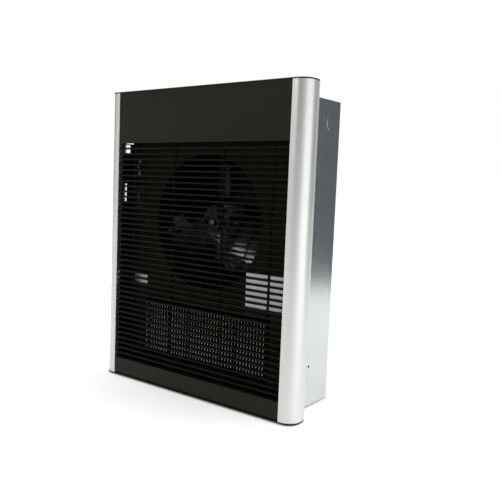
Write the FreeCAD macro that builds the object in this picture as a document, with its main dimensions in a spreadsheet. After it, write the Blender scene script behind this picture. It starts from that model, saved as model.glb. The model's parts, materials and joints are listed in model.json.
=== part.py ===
# Recessed fan-forced wall heater: a box in the wall, a heater panel and a louvred front cover.
# X runs to the right, Y runs into the wall, Z runs up; the origin is the middle of the box's back face.
import FreeCAD, Part
import math
import os
import Sketcher
from FreeCAD import Placement, Rotation, Vector

# Driving dimensions in millimetres, degrees or plain counts.
COVER = {
    "cover_width": 420,
    "cover_height": 508,
    "cover_depth": 36,
    "cover_rise": 6,
    "rail_face": 26,
    "rail_round": 16,
    "rail_bow": 45,
    "rail_belly": 22,
    "rail_wall": 2,
    "rail_leg": 14,
    "rail_lip": 4,
    "port_radius": 4,
    "port_bite": 1,
    "cap_thick": 2,
    "cap_screw_sink": 1.2,
    "cap_screw_reach": 12,
    "notch_share": 0.257,
    "notch_width": 3,
    "notch_deep": 1.5,
    "cover_sheet": 1.2,
    "panel_inset": 0.5,
    "panel_side_gap": 0.15,
    "panel_return": 11,
    "header_height": 87.3,
    "bottom_height": 27.8,
    "bottom_groove": 2,
}
GRILLE = {
    "louver_count": 40,
    "bar_height": 3.2,
    "bar_depth": 7.5,
    "bar_inset": 1,
    "bar_end_gap": 0.3,
    "rod_radius": 2,
    "rod_near_share": 0.2935,
    "rod_far_share": 0.8152,
    "baffle_thick": 2,
    "baffle_gap": 0.5,
    "slot_edge": 1.5,
    "slot_upper_width": 16,
    "slot_upper_height": 17,
    "slot_upper_drop": 1.7,
    "slot_lower_width": 9.5,
    "slot_lower_height": 34,
    "slot_lower_drop": 70.7,
    "hook_share": 0.652,
    "hook_width": 30,
    "hook_sheet": 1.5,
    "hook_height": 20,
    "cover_screw_share": 0.652,
    "cover_screw_reach": 11,
}
BOX = {
    "box_side_inset": 27,
    "box_end_inset": 12,
    "box_depth": 106,
    "box_sheet": 1,
    "box_lip": 14,
    "lip_tab": 24,
    "fixing_side_inset": 43,
    "fixing_end_inset": 52,
    "fixing_radius": 3.5,
    "side_hole_radius": 2.2,
    "side_hole_setback": 58.5,
    "side_hole_rise": 64,
    "knockout_radius": 14,
    "knockout_gap": 0.4,
    "knockout_proud": 0.5,
    "knockout_setback": 26,
    "knockout_drop": 34,
    "knockout_side_inset": 73,
    "terminal_width": 60,
    "terminal_height": 20,
    "terminal_depth": 18,
    "terminal_side_inset": 63,
    "terminal_drop": 50,
    "terminal_wall": 1.5,
    "ground_side_inset": 33,
    "ground_drop": 60,
}
PANEL = {
    "grille_space": 33,
    "panel_sheet": 1,
    "panel_margin": 0.2,
    "panel_flange": 14,
    "panel_screw_share": 0.82,
    "panel_screw_reach": 3,
    "fan_share": 0.27015,
    "fan_rise_share": 0.08265,
    "window_side_inset": 44,
    "window_height_share": 0.2066,
    "window_drop_share": 0.3182,
    "plate_sheet": 0.5,
    "rating_side_inset": 13,
    "rating_width": 81,
    "rating_height": 59,
    "rating_drop_share": 0.1291,
    "side_plate_inset": 3,
    "side_plate_width": 43,
    "side_plate_height": 22,
    "side_plate_drop_share": 0.1488,
}
FAN = {
    "ring_wall": 1,
    "ring_flange": 12,
    "ring_depth": 27,
    "hub_room": 6,
    "blade_count": 3,
    "blade_room": 7.7,
    "blade_root": 18,
    "blade_chord": 92,
    "blade_neck": 46,
    "blade_tip_round": 30,
    "blade_sheet": 1.2,
    "blade_angle": 22,
    "spider_radius": 30,
    "hub_radius": 13,
    "hub_flange_radius": 18,
    "hub_flange": 3,
    "hub_front": 8,
    "hub_rear": 14,
    "set_screw_radius": 2.5,
    "set_screw_gap": 0.05,
    "fit_gap": 0.02,
    "shaft_radius": 4,
    "shaft_tip": 13,
    "shaft_end_gap": 2,
    "running_gap": 0.05,
}
MOTOR = {
    "strap_room": 13,
    "stack_depth": 24,
    "stack_width": 66,
    "stack_over": 30,
    "stack_under": 58,
    "leg_height": 14,
    "window_under": 28,
    "coil_width": 39,
    "coil_gap": 0.4,
    "coil_wrap": 8,
    "rotor_bore": 17,
    "rotor_gap": 0.4,
    "bearing_plate": 4,
    "bearing_plate_width": 60,
    "bearing_plate_height": 18,
    "boss_radius": 10,
    "boss_reach": 10,
    "bearing_outer": 7,
    "motor_screw_place": 24,
    "strap_gap": 5.3,
    "strap_width": 25,
    "strap_sheet": 2,
    "strap_foot": 15,
    "foot_screw_spread": 14,
}
ELEMENT = {
    "fin_count": 43,
    "fin_side_gap": 3.7,
    "fin_sheet": 0.6,
    "fin_end_gap": 3,
    "fin_depth": 38,
    "fin_lead": 1,
    "tube_radius": 4,
    "tube_gap": 0.05,
    "pass_count": 4,
    "element_sheet": 1.2,
    "element_flange": 14,
    "element_screw_inset": 6,
    "tube_over": 6,
    "lead_over": 9,
    "insulator_radius": 4.5,
    "insulator_length": 8,
    "pin_radius": 1.6,
    "pin_length": 16,
}
CONTROLS = {
    "thermostat_side_inset": 20,
    "thermostat_drop": 40.7,
    "thermostat_width": 34,
    "thermostat_height": 40,
    "thermostat_depth": 26,
    "bush_radius": 5,
    "bush_reach": 4,
    "spindle_radius": 3,
    "spindle_proud": 3,
    "spindle_hold": 16,
    "spindle_slot": 1,
    "spindle_slot_deep": 2,
    "thermostat_screw_spread": 22,
    "thermostat_screw_reach": 7,
    "switch_side_inset": 20,
    "switch_drop": 95.7,
    "switch_width": 18,
    "switch_height": 29,
    "switch_depth": 24,
    "switch_wall": 1.7,
    "bezel_rim": 3,
    "bezel_thick": 1.5,
    "cutout_gap": 0.2,
    "rocker_gap": 0.3,
    "rocker_end_gap": 2,
    "rocker_proud": 4,
    "rocker_sink": 3,
    "rocker_cavity": 8,
    "rocker_tilt": 9,
    "trunnion_radius": 1.2,
    "trunnion_length": 1.2,
    "disc_share": 0.49,
    "disc_rise": 16,
    "disc_radius": 12,
    "disc_depth": 10,
    "tab_width": 6.3,
    "tab_sheet": 0.8,
    "tab_length": 9,
    "tab_spread": 11,
}
FASTENERS = {
    "screw_head": 3.5,
    "screw_head_height": 2.2,
    "screw_shank": 1.9,
    "screw_gap": 0.1,
    "screw_slot": 0.9,
    "cut_over": 2,
}

doc = FreeCAD.newDocument("wall_heater")
sheet = doc.addObject("Spreadsheet::Sheet", "dims")
nodes = []


class Size:
    """A length with its value and the sheet expression that drives it."""

    def __init__(self, value, text=None):
        self.value = float(value)
        self.text = text if text else repr(self.value)

    def join(self, mark, other, value):
        return Size(value, "(%s %s %s)" % (self.text, mark, other.text))

    def __add__(self, other):
        other = as_size(other)
        return self.join("+", other, self.value + other.value)

    def __sub__(self, other):
        other = as_size(other)
        return self.join("-", other, self.value - other.value)

    def __mul__(self, other):
        other = as_size(other)
        return self.join("*", other, self.value * other.value)

    def __truediv__(self, other):
        other = as_size(other)
        return self.join("/", other, self.value / other.value)

    def __radd__(self, other):
        return as_size(other) + self

    def __rsub__(self, other):
        return as_size(other) - self

    def __rmul__(self, other):
        return as_size(other) * self

    def __neg__(self):
        return Size(-self.value, "(-%s)" % self.text)


class Dims:
    """The sheet's cells as sizes, by alias."""


def as_size(number):
    return number if isinstance(number, Size) else Size(number)


def root(size):
    return Size(math.sqrt(size.value), "sqrt(%s)" % size.text)


def fill_sheet(tables):
    dims = Dims()
    row = 0
    for table in tables:
        for alias, value in table.items():
            row += 1
            sheet.set("A%d" % row, alias)
            sheet.set("B%d" % row, str(value))
            sheet.setAlias("B%d" % row, alias)
            setattr(dims, alias, Size(value, "dims." + alias))
    doc.recompute()
    return dims


d = fill_sheet((COVER, GRILLE, BOX, PANEL, FAN, MOTOR, ELEMENT, CONTROLS, FASTENERS))
zero = Size(0)
left, right = -1, 1
down, up = -1, 1
forward, rearward = -1, 1

# Main planes and edges that the pieces share.
panel_rear = -d.box_depth
panel_front = panel_rear - d.panel_sheet
front = panel_front - d.grille_space
cover_rear = front + d.cover_depth
half = d.cover_width / 2
inner_half = half - d.rail_face
cover_top = d.cover_rise + d.cover_height / 2
cover_low = d.cover_rise - d.cover_height / 2
cap_under = cover_top - d.cap_thick
cap_over = cover_low + d.cap_thick
grille_top = cap_under - d.header_height
bottom_low = cap_over + d.bottom_groove
grille_low = bottom_low + d.bottom_height
bar_rear = front + d.bar_inset + d.bar_depth
box_half = half - d.box_side_inset
box_top = d.cover_height / 2 - d.box_end_inset
back_inner = -d.box_sheet
panel_half = box_half - d.panel_margin
panel_top = box_top - d.panel_margin
hole_radius = d.screw_shank + d.screw_gap
strap_front = back_inner - d.strap_room - d.strap_sheet
stack_rear = strap_front - d.boss_reach
stack_front = stack_rear - d.stack_depth
fan_plane = stack_front - d.boss_reach - d.hub_room - d.hub_rear
fan_opening = d.fan_share * root(4 * box_half * box_top)
fan_rise = 2 * d.fan_rise_share * box_top
strap_half = fan_opening + d.ring_flange + d.strap_gap + d.strap_sheet
bore_running = d.shaft_radius + d.running_gap
window_half = box_half - d.window_side_inset
window_height = 2 * d.window_height_share * box_top
window_middle = -(2 * d.window_drop_share * box_top)
fin_height = window_height - 2 * d.fin_end_gap
bracket_face = window_half + d.element_sheet


def bind(obj, prop, size):
    obj.setExpression(prop, as_size(size).text)


def place(obj, x, y, z):
    bind(obj, "Placement.Base.x", x)
    bind(obj, "Placement.Base.y", y)
    bind(obj, "Placement.Base.z", z)


def node(obj, label):
    obj.Label = label
    nodes.append(obj)
    return obj


# Solids made from primitives.
TURNS = {"x": Rotation(Vector(0, 1, 0), 90), "y": Rotation(Vector(1, 0, 0), -90), "z": Rotation()}


def block(name, x, y, z):
    """Box between two corners, each axis given as (low, high)."""
    obj = doc.addObject("Part::Box", name)
    for prop, (low, high) in zip(("Length", "Width", "Height"), (x, y, z)):
        bind(obj, prop, high - low)
    place(obj, x[0], y[0], z[0])
    return obj


def drum(name, axis, radius, span, across):
    """Cylinder along an axis; across holds the other two coordinates."""
    obj = doc.addObject("Part::Cylinder", name)
    obj.Placement = Placement(Vector(), TURNS[axis])
    bind(obj, "Radius", radius)
    bind(obj, "Height", span[1] - span[0])
    spot = list(across)
    spot.insert("xyz".index(axis), span[0])
    place(obj, *spot)
    return obj


def fuse(name, shapes):
    obj = doc.addObject("Part::MultiFuse", name)
    obj.Shapes = shapes
    obj.Refine = True
    return obj


def cut(name, base, tools):
    obj = doc.addObject("Part::Cut", name)
    obj.Base = base
    obj.Tool = tools[0] if len(tools) == 1 else fuse(name + "_cuts", tools)
    return obj


def group(name, members):
    obj = doc.addObject("Part::Compound", name)
    obj.Links = members
    return obj


def about(centre, width):
    """Low and high limits of a width about its centre."""
    return (centre - width / 2, centre + width / 2)


def past(low, high):
    """A span that overruns both ends, for cutting right through."""
    return (low - d.cut_over, high + d.cut_over)


def screw(name, axis, way, seat, across, reach, sink=None):
    """Slotted screw: the head stands on its seat and the shank runs the way that is given."""
    height = sink if sink else d.screw_head_height
    top = seat - way * height
    head_span = (top, seat) if way > 0 else (seat, top)
    tip = seat + way * reach
    shank_span = (seat, tip) if way > 0 else (tip, seat)
    body = fuse(name + "_body", [
        drum(name + "_head", axis, d.screw_head, head_span, across),
        drum(name + "_shank", axis, d.screw_shank, shank_span, across)])
    floor = seat - way * (height / 2)
    over = top - way * d.cut_over
    limits = [about(place_, d.screw_slot) for place_ in across]
    limits[0] = about(across[0], 3 * d.screw_head)
    limits.insert("xyz".index(axis), (over, floor) if way > 0 else (floor, over))
    return cut(name, body, [block(name + "_slot", *limits)])


# Bodies made from sketches.
def origin_feature(body, role):
    return next(item for item in body.Origin.OriginFeatures if item.Role == role)


def new_body(label):
    return doc.addObject("PartDesign::Body", label)


def sketch_on(body, role, x=zero, y=zero, z=zero):
    """Sketch on one of the body's planes, shifted in the plane's own axes."""
    sketch = body.newObject("Sketcher::SketchObject", body.Name + "_sketch")
    sketch.AttachmentSupport = [(origin_feature(body, role), "")]
    sketch.MapMode = "FlatFace"
    for axis, size in zip("xyz", (x, y, z)):
        bind(sketch, "AttachmentOffset.Base." + axis, size)
    return sketch


def pin_point(sketch, edge, end, x, y):
    for kind, size in (("DistanceX", x), ("DistanceY", y)):
        index = sketch.addConstraint(Sketcher.Constraint(kind, -1, 1, edge, end, size.value))
        bind(sketch, "Constraints[%d]" % index, size)


def heading(start, end):
    """Unit step along the axis on which two corners differ."""
    across = end[0].value - start[0].value
    up = end[1].value - start[1].value
    if abs(across) > abs(up):
        return (int(math.copysign(1, across)), 0)
    return (0, int(math.copysign(1, up)))


def shifted(point, step, size):
    return tuple(value if way == 0 else value + way * size for value, way in zip(point, step))


def flat(point):
    return Vector(point[0].value, point[1].value, 0)


def outline(sketch, corners):
    """Closed outline, anticlockwise: (x, y) is a corner and (x, y, radius) a rounded square one.

    (x, y, radius, centre, turn) starts an arc that ends at the next corner.
    """
    points = []
    bends = {}
    for index, corner in enumerate(corners):
        spot = corner[:2]
        if len(corner) == 2:
            points.append(spot)
            continue
        if len(corner) > 3:
            bends[len(points)] = corner[2:]
            points.append(spot)
            continue
        before = heading(corners[index - 1], corner)
        after = heading(corner, corners[(index + 1) % len(corners)])
        radius = corner[2]
        turn = before[0] * after[1] - before[1] * after[0]
        start = shifted(spot, before, -radius)
        bends[len(points)] = (radius, shifted(start, after, radius), turn)
        points.append(start)
        points.append(shifted(spot, after, radius))
    first = sketch.GeometryCount
    ends = []
    for index, point in enumerate(points):
        target = points[(index + 1) % len(points)]
        if index in bends:
            ends.append(add_bend(sketch, point, target, bends[index]))
        else:
            sketch.addGeometry(Part.LineSegment(flat(point), flat(target)), False)
            ends.append((1, 2))
    for index, point in enumerate(points):
        after = (index + 1) % len(points)
        sketch.addConstraint(Sketcher.Constraint(
            "Coincident", first + index, ends[index][1], first + after, ends[after][0]))
        pin_point(sketch, first + index, ends[index][0], *point)
    for index, (radius, _, _) in bends.items():
        number = sketch.addConstraint(Sketcher.Constraint("Radius", first + index, radius.value))
        bind(sketch, "Constraints[%d]" % number, radius)


def add_bend(sketch, start, end, bend):
    """Round edge; returns which of its ends comes first and which last."""
    radius, centre, turn = bend
    middle = flat(centre)
    angles = [math.atan2(p.y - middle.y, p.x - middle.x) for p in (flat(start), flat(end))]
    if turn < 0:
        angles.reverse()
    circle = Part.Circle(middle, Vector(0, 0, 1), radius.value)
    sketch.addGeometry(Part.ArcOfCircle(circle, *angles), False)
    return (1, 2) if turn > 0 else (2, 1)


def rectangle(sketch, x, y):
    outline(sketch, [(x[0], y[0]), (x[1], y[0]), (x[1], y[1]), (x[0], y[1])])


def ring(sketch, x, y, radius):
    edge = sketch.addGeometry(Part.Circle(flat((x, y)), Vector(0, 0, 1), radius.value), False)
    pin_point(sketch, edge, 3, x, y)
    index = sketch.addConstraint(Sketcher.Constraint("Radius", edge, radius.value))
    bind(sketch, "Constraints[%d]" % index, radius)


def pad(body, sketch, length):
    feature = body.newObject("PartDesign::Pad", body.Name + "_pad")
    feature.Profile = sketch
    bind(feature, "Length", length)
    return feature


def turned(label, x, z, profile):
    """Body of revolution about a line along Y; the profile's corners are (y, radius)."""
    body = new_body(label)
    sketch = sketch_on(body, "YZ_Plane", y=z, z=x)
    outline(sketch, profile)
    feature = body.newObject("PartDesign::Revolution", label + "_turn")
    feature.Profile = sketch
    feature.ReferenceAxis = (sketch, ["H_Axis"])
    feature.Angle = 360
    return body


def tube_profile(span, inner, outer):
    return [(span[0], inner), (span[1], inner), (span[1], outer), (span[0], outer)]


# Front cover: rails, end caps and panels.
bow_centre = (half - d.rail_bow, front + d.rail_belly)
round_gap = d.rail_bow - d.rail_round
round_drop = d.rail_belly - d.rail_round
round_side = root(round_gap * round_gap - round_drop * round_drop)
round_centre = (bow_centre[0] + round_side, front + d.rail_round)


def bow_x(radius, y):
    """Where an arc about the right rail's bow centre reaches depth y."""
    depth = y - bow_centre[1]
    return bow_centre[0] + root(radius * radius - depth * depth)


def bullnose(inset):
    """Right rail's outside from its flat front to its rear, moved in by an inset."""
    bow = d.rail_bow - inset
    meeting = (bow_centre[0] + bow * round_side / round_gap, bow_centre[1] - bow * round_drop / round_gap)
    rear = cover_rear - inset
    return [(round_centre[0], front + inset, d.rail_round - inset, round_centre, 1),
            meeting + (bow, bow_centre, 1), (bow_x(bow, rear), rear)]


def reversed_path(path):
    """The same edges walked the other way."""
    turned_round = []
    for index in reversed(range(len(path))):
        edge = path[index - 1][2:] if index else ()
        turned_round.append(path[index][:2] + edge[:2] + tuple(-turn for turn in edge[2:]))
    return turned_round


def mirrored_path(path):
    """The path on the heater's left side, still walked anticlockwise."""
    return [(-x, y) + tuple(edge[:1]) + tuple((-centre[0], centre[1]) for centre in edge[1:2])
            + tuple(-turn for turn in edge[2:])
            for x, y, *edge in reversed_path(path)]


def port_places():
    """Screw ports of the right rail: one in the rounded corner, one at the rear."""
    inside = d.rail_round - d.rail_wall - d.port_radius + d.port_bite
    lean = inside * Size(math.sqrt(0.5))
    corner = (round_centre[0] + lean, round_centre[1] - lean)
    rear = cover_rear - d.rail_wall - d.port_radius + d.port_bite
    return (corner, (bow_x(d.rail_bow - d.rail_wall, rear) - d.port_radius + d.port_bite, rear))


def rail(label, side):
    body = new_body(label + "_profile")
    wall = d.rail_wall
    outside = bullnose(zero)
    lip = outside[-1][0] - d.rail_lip
    path = ([(inner_half, front + d.rail_leg), (inner_half, front)] + outside
            + [(lip, cover_rear), (lip, cover_rear - wall)] + reversed_path(bullnose(wall))
            + [(inner_half + wall, front + wall), (inner_half + wall, front + d.rail_leg)])
    length = cap_under - cap_over
    sketch = sketch_on(body, "XY_Plane", z=cap_over)
    outline(sketch, path if side > 0 else mirrored_path(path))
    pad(body, sketch, length)
    ports = sketch_on(body, "XY_Plane", z=cap_over)
    for x, y in port_places():
        ring(ports, side * x, y, d.port_radius)
    pad(body, ports, length)
    bores = [drum("%s_port_%d" % (label, index), "z", hole_radius, past(cap_over, cap_under), (side * x, y))
             for index, (x, y) in enumerate(port_places())]
    return node(cut(label + "_extrusion", body, bores), label)


def cap_screws(name, seat, way):
    return [screw("%s_%d_%d" % (name, index, side + 1), "z", way, seat, (side * x, y),
                  d.cap_screw_reach, d.cap_screw_sink)
            for index, (x, y) in enumerate(port_places()) for side in (left, right)]


def end_cap(label, low, outside, way, more_screws=()):
    """Plate over the rails' ends, with sunk holes for its screws."""
    body = new_body(label)
    sketch = sketch_on(body, "XY_Plane", z=low)
    outline(sketch, mirrored_path(bullnose(zero)) + bullnose(zero))
    pad(body, sketch, d.cap_thick)
    places = [(side * x, y) for x, y in port_places() for side in (left, right)] + list(more_screws)
    sunk = outside + way * d.cap_screw_sink
    over = outside - way * d.cut_over
    tools = []
    for index, spot in enumerate(places):
        name = "%s_hole_%d" % (label, index)
        span = (over, sunk) if way > 0 else (sunk, over)
        tools.append(drum(name + "_sink", "z", d.screw_head + d.screw_gap, span, spot))
        tools.append(drum(name, "z", hole_radius, past(low, low + d.cap_thick), spot))
    return body, tools


def cover_screw_places():
    x = d.cover_screw_share * inner_half
    return [(side * x, panel_front - d.panel_flange / 2) for side in (left, right)]


def folded_panel(label, low, high):
    """Front sheet with a return at its lower and upper edges."""
    body = new_body(label)
    reach = inner_half - d.panel_side_gap
    face = front + d.panel_inset
    inside = face + d.cover_sheet
    rear = face + d.panel_return
    sketch = sketch_on(body, "YZ_Plane", z=-reach)
    outline(sketch, [
        (face, low), (rear, low), (rear, low + d.cover_sheet), (inside, low + d.cover_sheet),
        (inside, high - d.cover_sheet), (rear, high - d.cover_sheet), (rear, high), (face, high)])
    pad(body, sketch, 2 * reach)
    return node(body, label)


rail("left_rail", left)
rail("right_rail", right)
top_body, top_tools = end_cap("top_cap_plate", cap_under, cover_top, down)
node(cut("top_cap_drilled", top_body, top_tools), "top_end_cap")
low_body, low_tools = end_cap("bottom_cap_plate", cover_low, cover_low, up, cover_screw_places())
notch = block("bottom_cap_notch", about(-(d.notch_share * half), d.notch_width),
              (front - d.cut_over, front + d.notch_deep), past(cover_low, cap_over))
node(cut("bottom_cap_drilled", low_body, low_tools + [notch]), "bottom_end_cap")
node(group("cap_screw_set", cap_screws("top_cap_screw", cover_top - d.cap_screw_sink, down)
           + cap_screws("bottom_cap_screw", cover_low + d.cap_screw_sink, up)), "end_cap_screws")
folded_panel("header_panel", grille_top, cap_under)
folded_panel("bottom_panel", bottom_low, grille_low)


# Front cover: bar grille, baffles and fixings.
def louver_bars():
    body = new_body("louver_bars")
    pitch = (grille_top - grille_low) / (d.louver_count + 1)
    reach = inner_half - d.bar_end_gap
    sketch = sketch_on(body, "XZ_Plane", z=-bar_rear)
    rectangle(sketch, (-reach, reach), about(grille_low + pitch, d.bar_height))
    bar = pad(body, sketch, d.bar_depth)
    rows = body.newObject("PartDesign::LinearPattern", "louver_rows")
    rows.Originals = [bar]
    rows.Direction = (origin_feature(body, "Z_Axis"), [""])
    bind(rows, "Length", pitch * (d.louver_count - 1))
    bind(rows, "Occurrences", d.louver_count)
    body.Tip = rows
    return node(body, "louver_bars")


def side_baffle(label, side):
    """Side wall between the grille and the heater panel, slotted, with a foot behind the bottom panel."""
    edge = bar_rear + d.baffle_gap
    outer = side * inner_half
    inner = side * (inner_half - d.baffle_thick)
    x = (inner, outer) if side > 0 else (outer, inner)
    web = block(label + "_web", x, (edge, panel_front), (grille_low, grille_top))
    behind = front + d.panel_inset + d.panel_return + d.baffle_gap
    floor = d.panel_sheet + d.baffle_gap - panel_top
    foot = block(label + "_foot", x, (behind, panel_front), (floor, grille_low))
    start = edge + d.slot_edge
    tools = []
    for name, drop, height, width in (
            ("upper", d.slot_upper_drop, d.slot_upper_height, d.slot_upper_width),
            ("lower", d.slot_lower_drop, d.slot_lower_height, d.slot_lower_width)):
        top = grille_top - drop
        depth = (start, start + width)
        tools.append(block("%s_%s_slot" % (label, name), past(*x), depth, (top - height, top)))
    return node(cut(label + "_slotted", fuse(label + "_wall", [web, foot]), tools), label)


def cover_hook(name, side):
    """Bracket on the header's rear face that hangs the cover on the heater panel's top flange."""
    face = front + d.panel_inset + d.cover_sheet
    x = about(side * d.hook_share * inner_half, d.hook_width)
    arm = block(name + "_arm", x, (face, panel_front), (panel_top, panel_top + d.hook_sheet))
    plate = block(name + "_plate", x, (face, face + d.hook_sheet),
                  (panel_top - d.hook_height, panel_top + d.hook_sheet))
    return fuse(name, [arm, plate])


rod_places = [side * share * inner_half for side in (left, right)
              for share in (d.rod_near_share, d.rod_far_share)]
louver_bars()
node(group("louver_rod_set", [
    drum("louver_rod_%d" % index, "z", d.rod_radius, (grille_low, grille_top), (x, bar_rear + d.rod_radius))
    for index, x in enumerate(rod_places)]), "louver_rods")
side_baffle("left_side_baffle", left)
side_baffle("right_side_baffle", right)
node(group("cover_hook_set", [cover_hook("cover_hook_left", left), cover_hook("cover_hook_right", right)]),
     "cover_hooks")
node(group("cover_screw_set", [
    screw("cover_screw_%d" % index, "z", up, cover_low + d.cap_screw_sink, spot,
          d.cover_screw_reach, d.cap_screw_sink)
    for index, spot in enumerate(cover_screw_places())]), "cover_screws")


# Wall box with its knockouts and supply connections.
def knockout_places():
    """Axis, outward way, wall's outer face and the two other coordinates of each knockout."""
    x = box_half - d.knockout_side_inset
    y = -d.knockout_setback
    z = box_top - d.knockout_drop
    return [("x", right, box_half, (y, z)), ("x", left, -box_half, (y, z)),
            ("z", up, box_top, (x, y)), ("z", down, -box_top, (x, y))]


def panel_screw_places():
    lip = d.box_lip / 2
    corners = [(x * d.panel_screw_share * box_half, z * (box_top - lip))
               for x in (left, right) for z in (down, up)]
    return corners + [(x * (box_half - lip), zero) for x in (left, right)]


def wall_box():
    """Sheet box with a lip along the top and bottom of its mouth and a tab at each side."""
    wall = d.box_sheet
    lip_span = past(panel_rear, panel_rear + wall)
    shell = block("box_outside", (-box_half, box_half), (panel_rear, zero), (-box_top, box_top))
    inner = box_half - wall
    inner_top = box_top - wall
    mouth = box_half - d.box_lip
    mouth_top = box_top - d.box_lip
    tools = [
        block("box_inside", (-inner, inner), (panel_rear + wall, -wall), (-inner_top, inner_top)),
        block("box_mouth", (-mouth, mouth), lip_span, (-mouth_top, mouth_top)),
        block("box_mouth_upper", (-inner, inner), lip_span, (d.lip_tab / 2, mouth_top)),
        block("box_mouth_lower", (-inner, inner), lip_span, (-mouth_top, -d.lip_tab / 2)),
        drum("ground_hole", "y", hole_radius, past(back_inner, zero), ground_place)]
    corners = [(x * (box_half - d.fixing_side_inset), z * (box_top - d.fixing_end_inset))
               for x in (left, right) for z in (down, up)]
    for index, spot in enumerate(corners):
        tools.append(drum("fixing_hole_%d" % index, "y", d.fixing_radius, past(back_inner, zero), spot))
    for index, side in enumerate((left, right)):
        wall_span = (box_half - wall, box_half) if side > 0 else (-box_half, wall - box_half)
        tools.append(drum("side_hole_%d" % index, "x", d.side_hole_radius, past(*wall_span),
                          (-d.side_hole_setback, d.side_hole_rise - box_top)))
    for index, (axis, way, face, across) in enumerate(knockout_places()):
        span = (face - wall, face) if way > 0 else (face, face + wall)
        tools.append(drum("knockout_hole_%d" % index, axis, d.knockout_radius, past(*span), across))
    for index, spot in enumerate(panel_screw_places()):
        tools.append(drum("lip_hole_%d" % index, "y", hole_radius, lip_span, spot))
    return node(cut("box_shell", shell, tools), "wall_box")


def knockout(index, axis, way, face, across):
    outer = face + way * d.knockout_proud
    inner = outer - way * d.box_sheet
    span = (inner, outer) if way > 0 else (outer, inner)
    return drum("knockout_%d" % index, axis, d.knockout_radius - d.knockout_gap, span, across)


def terminal_block():
    """Three-way block on the box's back, with walls between its screws."""
    face = back_inner - d.terminal_depth
    x = about(box_half - d.terminal_side_inset, d.terminal_width)
    z = about(-d.terminal_drop, d.terminal_height)
    base = block("terminal_base", x, (face, back_inner), z)
    cell = (d.terminal_width - 4 * d.terminal_wall) / 3
    bays = []
    holes = []
    screws = []
    bay_floor = back_inner - d.terminal_depth / 2
    for index in range(3):
        left = x[0] + d.terminal_wall + index * (cell + d.terminal_wall)
        middle = (left + cell / 2, -d.terminal_drop)
        bays.append(block("terminal_bay_%d" % index, (left, left + cell), (face - d.cut_over, bay_floor),
                          past(*z)))
        holes.append(drum("terminal_hole_%d" % index, "y", hole_radius,
                          (bay_floor - d.cut_over, back_inner - d.terminal_wall), middle))
        screws.append(screw("terminal_screw_%d" % index, "y", rearward, bay_floor, middle,
                            d.terminal_depth / 2 - 2 * d.terminal_wall))
    node(cut("terminal_body", base, bays + holes), "terminal_block")
    node(group("terminal_screw_set", screws), "terminal_screws")


ground_place = (d.ground_side_inset - box_half, -d.ground_drop)
wall_box()
node(group("knockout_set", [knockout(index, *spot) for index, spot in enumerate(knockout_places())]),
     "knockouts")
terminal_block()
node(screw("ground_screw_solid", "y", rearward, back_inner, ground_place, d.box_sheet), "ground_screw")


# Heater panel with its plates and screws.
def strap_screw_places():
    x = strap_half + d.strap_foot / 2
    spread = d.foot_screw_spread / 2
    return [(side * x, fan_rise + way * spread) for side in (left, right) for way in (down, up)]


def element_screw_places():
    x = bracket_face + d.element_sheet + d.element_flange / 2
    spread = window_height / 2 - d.element_screw_inset
    return [(side * x, window_middle + way * spread) for side in (left, right) for way in (down, up)]


def thermostat_screw_places():
    spread = d.thermostat_screw_spread / 2
    x, z = thermostat_place
    return [(x, z + way * spread) for way in (down, up)]


def fan_panel():
    """Sheet with the fan's round opening, the element's window and flanges at top and bottom."""
    body = new_body("fan_panel_sheet")
    sketch = sketch_on(body, "XZ_Plane", z=-panel_rear)
    rectangle(sketch, (-panel_half, panel_half), (-panel_top, panel_top))
    ring(sketch, zero, fan_rise, fan_opening)
    rectangle(sketch, (-window_half, window_half), about(window_middle, window_height))
    rectangle(sketch, about(switch_place[0], d.switch_width + 2 * d.cutout_gap),
              about(switch_place[1], d.switch_height + 2 * d.cutout_gap))
    ring(sketch, *thermostat_place, d.bush_radius + d.cutout_gap)
    for x, z in (panel_screw_places() + strap_screw_places() + element_screw_places()
                 + thermostat_screw_places()):
        ring(sketch, x, z, hole_radius)
    pad(body, sketch, d.panel_sheet)
    for edge in ((-panel_top, d.panel_sheet - panel_top), (panel_top - d.panel_sheet, panel_top)):
        flange = sketch_on(body, "XZ_Plane", z=-panel_front)
        rectangle(flange, (-panel_half, panel_half), edge)
        pad(body, flange, d.panel_flange)
    low = (-panel_top, d.panel_sheet - panel_top)
    holes = [drum("flange_hole_%d" % index, "z", hole_radius, past(*low), spot)
             for index, spot in enumerate(cover_screw_places())]
    return node(cut("fan_panel_drilled", body, holes), "fan_panel")


thermostat_place = (d.thermostat_side_inset - box_half, grille_top - d.thermostat_drop)
switch_place = (d.switch_side_inset - box_half, grille_top - d.switch_drop)
fan_panel()
node(group("panel_screw_set", [
    screw("panel_screw_%d" % index, "y", rearward, panel_front, spot, d.panel_screw_reach)
    for index, spot in enumerate(panel_screw_places())]), "panel_screws")
plate_span = (panel_front - d.plate_sheet, panel_front)
rating_edge = box_half - d.rating_side_inset
node(block("rating_plate_sheet", (rating_edge - d.rating_width, rating_edge), plate_span,
           about(-(2 * d.rating_drop_share * box_top), d.rating_height)), "rating_plate")
plate_edge = d.side_plate_inset - box_half
node(block("side_plate_sheet", (plate_edge, plate_edge + d.side_plate_width), plate_span,
           about(-(2 * d.side_plate_drop_share * box_top), d.side_plate_height)), "side_plate")


# Fan: inlet ring, blades, hub and shaft.
def inlet_ring():
    outer = fan_opening + d.ring_wall
    flange = fan_opening + d.ring_flange
    flange_rear = panel_rear + d.ring_wall
    rear = panel_rear + d.ring_depth
    return node(turned("inlet_ring", zero, fan_rise, [
        (panel_rear, fan_opening), (rear, fan_opening), (rear, outer),
        (flange_rear, outer), (flange_rear, flange), (panel_rear, flange)]), "inlet_ring")


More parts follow.
